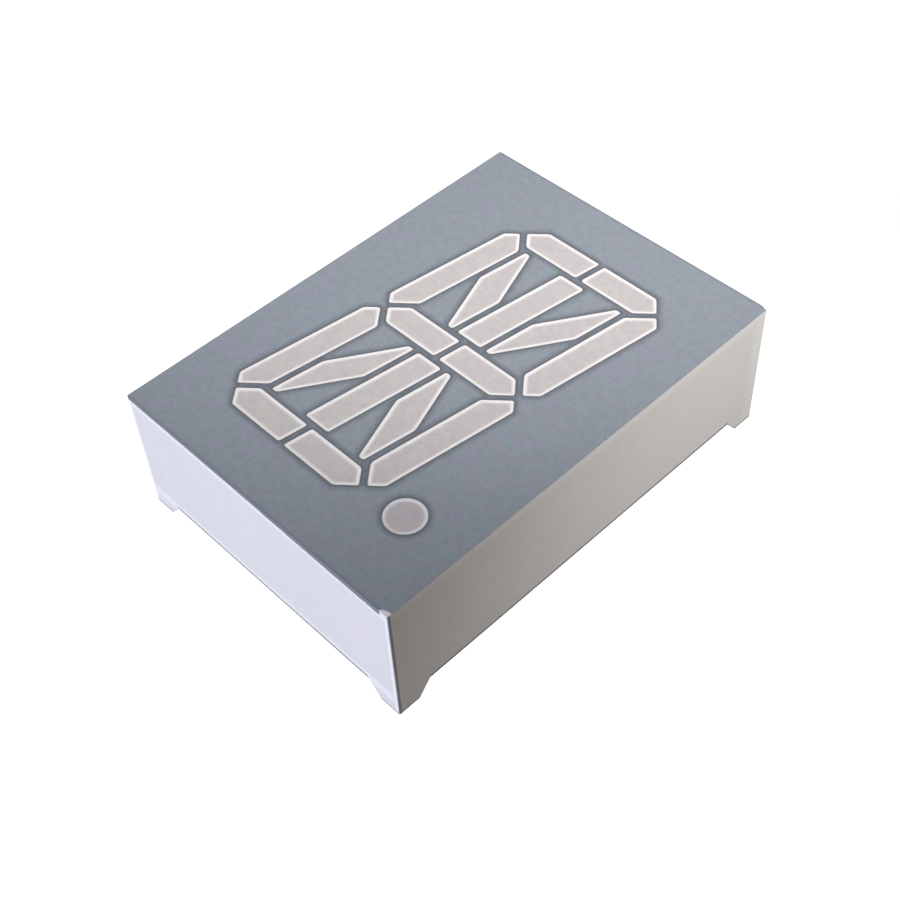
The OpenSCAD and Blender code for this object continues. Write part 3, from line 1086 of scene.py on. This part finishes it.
class DISPLAY_OT_stage(PieceOperator, bpy.types.Operator):
    """Sets the floor, the lamps, the light from all round and the camera"""

    bl_idname = "led_display.stage"
    bl_label = "Stage"

    def execute(self, context):
        settings = context.scene.display_stage
        context.scene.view_settings.view_transform = "Standard"
        self.floor(settings)
        self.surroundings(settings)
        self.lamps(settings)
        self.camera(settings)
        return {"FINISHED"}

    @staticmethod
    def seen(shade):
        """1 on rays that show the stage: from the camera, a gloss or a clear piece."""
        paths = [
            shade.node("ShaderNodeLightPath", output=f"Is {kind} Ray")
            for kind in ("Camera", "Glossy", "Transmission")
        ]
        return (paths[0] + paths[1] + paths[2]).least(1.0)

    def floor(self, settings):
        """A broad pale floor under the pins, which keeps the object's shadow."""
        shape = bmesh.new()
        reach = 1.5
        bmesh.ops.create_grid(shape, x_segments=8, y_segments=8, size=reach)
        bmesh.ops.translate(shape, verts=shape.verts, vec=(0, 0, CAD_BOX[0].z))
        mesh = bpy.data.meshes.new("floor")
        shape.to_mesh(mesh)
        shape.free()
        mesh.materials.append(self.floor_finish(settings))
        floor = bpy.data.objects.new("floor", mesh)
        bpy.context.scene.collection.objects.link(floor)

    def floor_finish(self, settings):
        """Pale where it is seen, clear from below, and elsewhere what the object is lit by."""
        material, shade, place = start_material("pale_floor")

        def mixed(factor, first, second):
            return shade.node("ShaderNodeMixShader", values={0: factor, 1: first, 2: second})

        reflects, glows = 0.5, 0.92
        pale = shade.node("ShaderNodeBsdfDiffuse", values={"Color": [reflects] * 3 + [1.0]})
        glow = shade.node("ShaderNodeEmission", values={"Strength": glows})
        shown = shade.node("ShaderNodeAddShader", values={0: pale, 1: glow})
        dim_tint = [settings.floor_return] * 3 + [1.0]
        dim = shade.node("ShaderNodeBsdfDiffuse", values={"Color": dim_tint})
        gap_x, gap_y = outer_gaps(place)
        under = gap_x.between(0.0, 1 * MM) * gap_y.between(0.0, 1 * MM)
        bounce = shade.node("ShaderNodeEmission", values={"Strength": settings.under_glow})
        lighting = mixed(under, dim, bounce)
        below = shade.node("ShaderNodeNewGeometry", output="Backfacing")
        clear = shade.node("ShaderNodeBsdfTransparent")
        surface = mixed(below, mixed(self.seen(shade), lighting, shown), clear)
        shade.node("ShaderNodeOutputMaterial", values={"Surface": surface})
        return material

    def surroundings(self, settings):
        """White where it is seen, and a soft light from all round elsewhere."""
        world = bpy.data.worlds.new("soft_surroundings")
        bpy.context.scene.world = world
        world.use_nodes = True
        world.node_tree.nodes.clear()
        shade = Shade(world.node_tree)
        warm = shade.node(
            "ShaderNodeBackground",
            values={"Color": SOFT_LIGHT, "Strength": settings.ambient},
        )
        white = shade.node("ShaderNodeBackground", values={"Color": (1, 1, 1, 1)})
        sky = shade.node("ShaderNodeMixShader", values={0: self.seen(shade), 1: warm, 2: white})
        shade.node("ShaderNodeOutputWorld", values={"Surface": sky})

    def lamps(self, settings):
        """A broad lamp before the lower end, and a soft-edged one behind the upper end.

        The watts are those at which a white surface that faces the lamp shows as its level.
        """
        distance = 220 * MM
        front = bpy.data.lights.new("front_panel", "AREA")
        front.shape, front.size = "DISK", 60 * MM
        front.energy = settings.front_level * (math.pi * distance) ** 2
        front.color = FRONT_LIGHT
        self.hang(front, azimuth=358, elevation=19.9, distance=distance, aim=LIT_CENTRE)
        distance = 200 * MM
        rear = bpy.data.lights.new("rear_spot", "SPOT")
        rear.spot_size, rear.spot_blend = math.radians(15.4), 1.0
        rear.shadow_soft_size = 8 * MM
        rear.energy = settings.rear_level * (2 * math.pi * distance) ** 2
        rear.color = REAR_LIGHT
        aim = Vector((-6.4 * MM, 7.2 * MM, 5 * MM))
        self.hang(rear, azimuth=136.2, elevation=39.4, distance=distance, aim=aim)

    @staticmethod
    def hang(light, azimuth, elevation, distance, aim):
        """Puts a lamp round the object at angles in degrees and turns it to its aim."""
        lamp = bpy.data.objects.new(light.name, light)
        towards = direction(math.radians(azimuth), math.radians(elevation))
        lamp.location = LIT_CENTRE + towards * distance
        lamp.rotation_euler = (aim - lamp.location).to_track_quat("-Z", "Y").to_euler()
        lamp.visible_camera = False
        bpy.context.scene.collection.objects.link(lamp)

    @staticmethod
    def camera(settings):
        """A camera on its line of sight, at a distance from its aim."""
        data = bpy.data.cameras.new("camera")
        data.lens = settings.lens
        data.clip_start, data.clip_end = 5 * MM, 10
        camera = bpy.data.objects.new("camera", data)
        back = direction(settings.view_azimuth, settings.view_elevation)
        camera.location = Vector(settings.view_aim) + back * settings.view_distance
        camera.rotation_mode = "QUATERNION"
        level = (-back).to_track_quat("-Z", "Y")
        camera.rotation_quaternion = level @ Quaternion((0, 0, 1), settings.view_roll)
        bpy.context.scene.collection.objects.link(camera)
        bpy.context.scene.camera = camera


PIECES = [
    DISPLAY_OT_housing,
    DISPLAY_OT_printed_face,
    DISPLAY_OT_light_pipes,
    DISPLAY_OT_led_chips,
    DISPLAY_OT_circuit_board,
    DISPLAY_OT_sealing_bead,
    DISPLAY_OT_pins,
    DISPLAY_OT_solder_joints,
    DISPLAY_OT_stage,
]
SETTINGS = {
    "display_sizes": DisplaySizes,
    "display_colours": DisplayColours,
    "display_stage": StageSettings,
}


class DISPLAY_PT_pieces(bpy.types.Panel):
    """Lists the pieces of the display"""

    bl_idname = "DISPLAY_PT_pieces"
    bl_label = "Sixteen-Segment Display"
    bl_space_type = "VIEW_3D"
    bl_region_type = "UI"
    bl_category = "Display"

    def draw(self, context):
        for piece in PIECES:
            self.layout.operator(piece.bl_idname)
        for name, group in SETTINGS.items():
            for setting in group.__annotations__:
                self.layout.prop(getattr(context.scene, name), setting)


def register():
    for item in [*SETTINGS.values(), *PIECES, DISPLAY_PT_pieces]:
        bpy.utils.register_class(item)
    for name, group in SETTINGS.items():
        setattr(bpy.types.Scene, name, bpy.props.PointerProperty(type=group))


def unregister():
    for name in SETTINGS:
        delattr(bpy.types.Scene, name)
    for item in [DISPLAY_PT_pieces, *PIECES[::-1], *SETTINGS.values()]:
        bpy.utils.unregister_class(item)


def main():
    register()
    for piece in PIECES:
        family, name = piece.bl_idname.split(".")
        getattr(getattr(bpy.ops, family), name)()


if __name__ == "__main__":
    main()
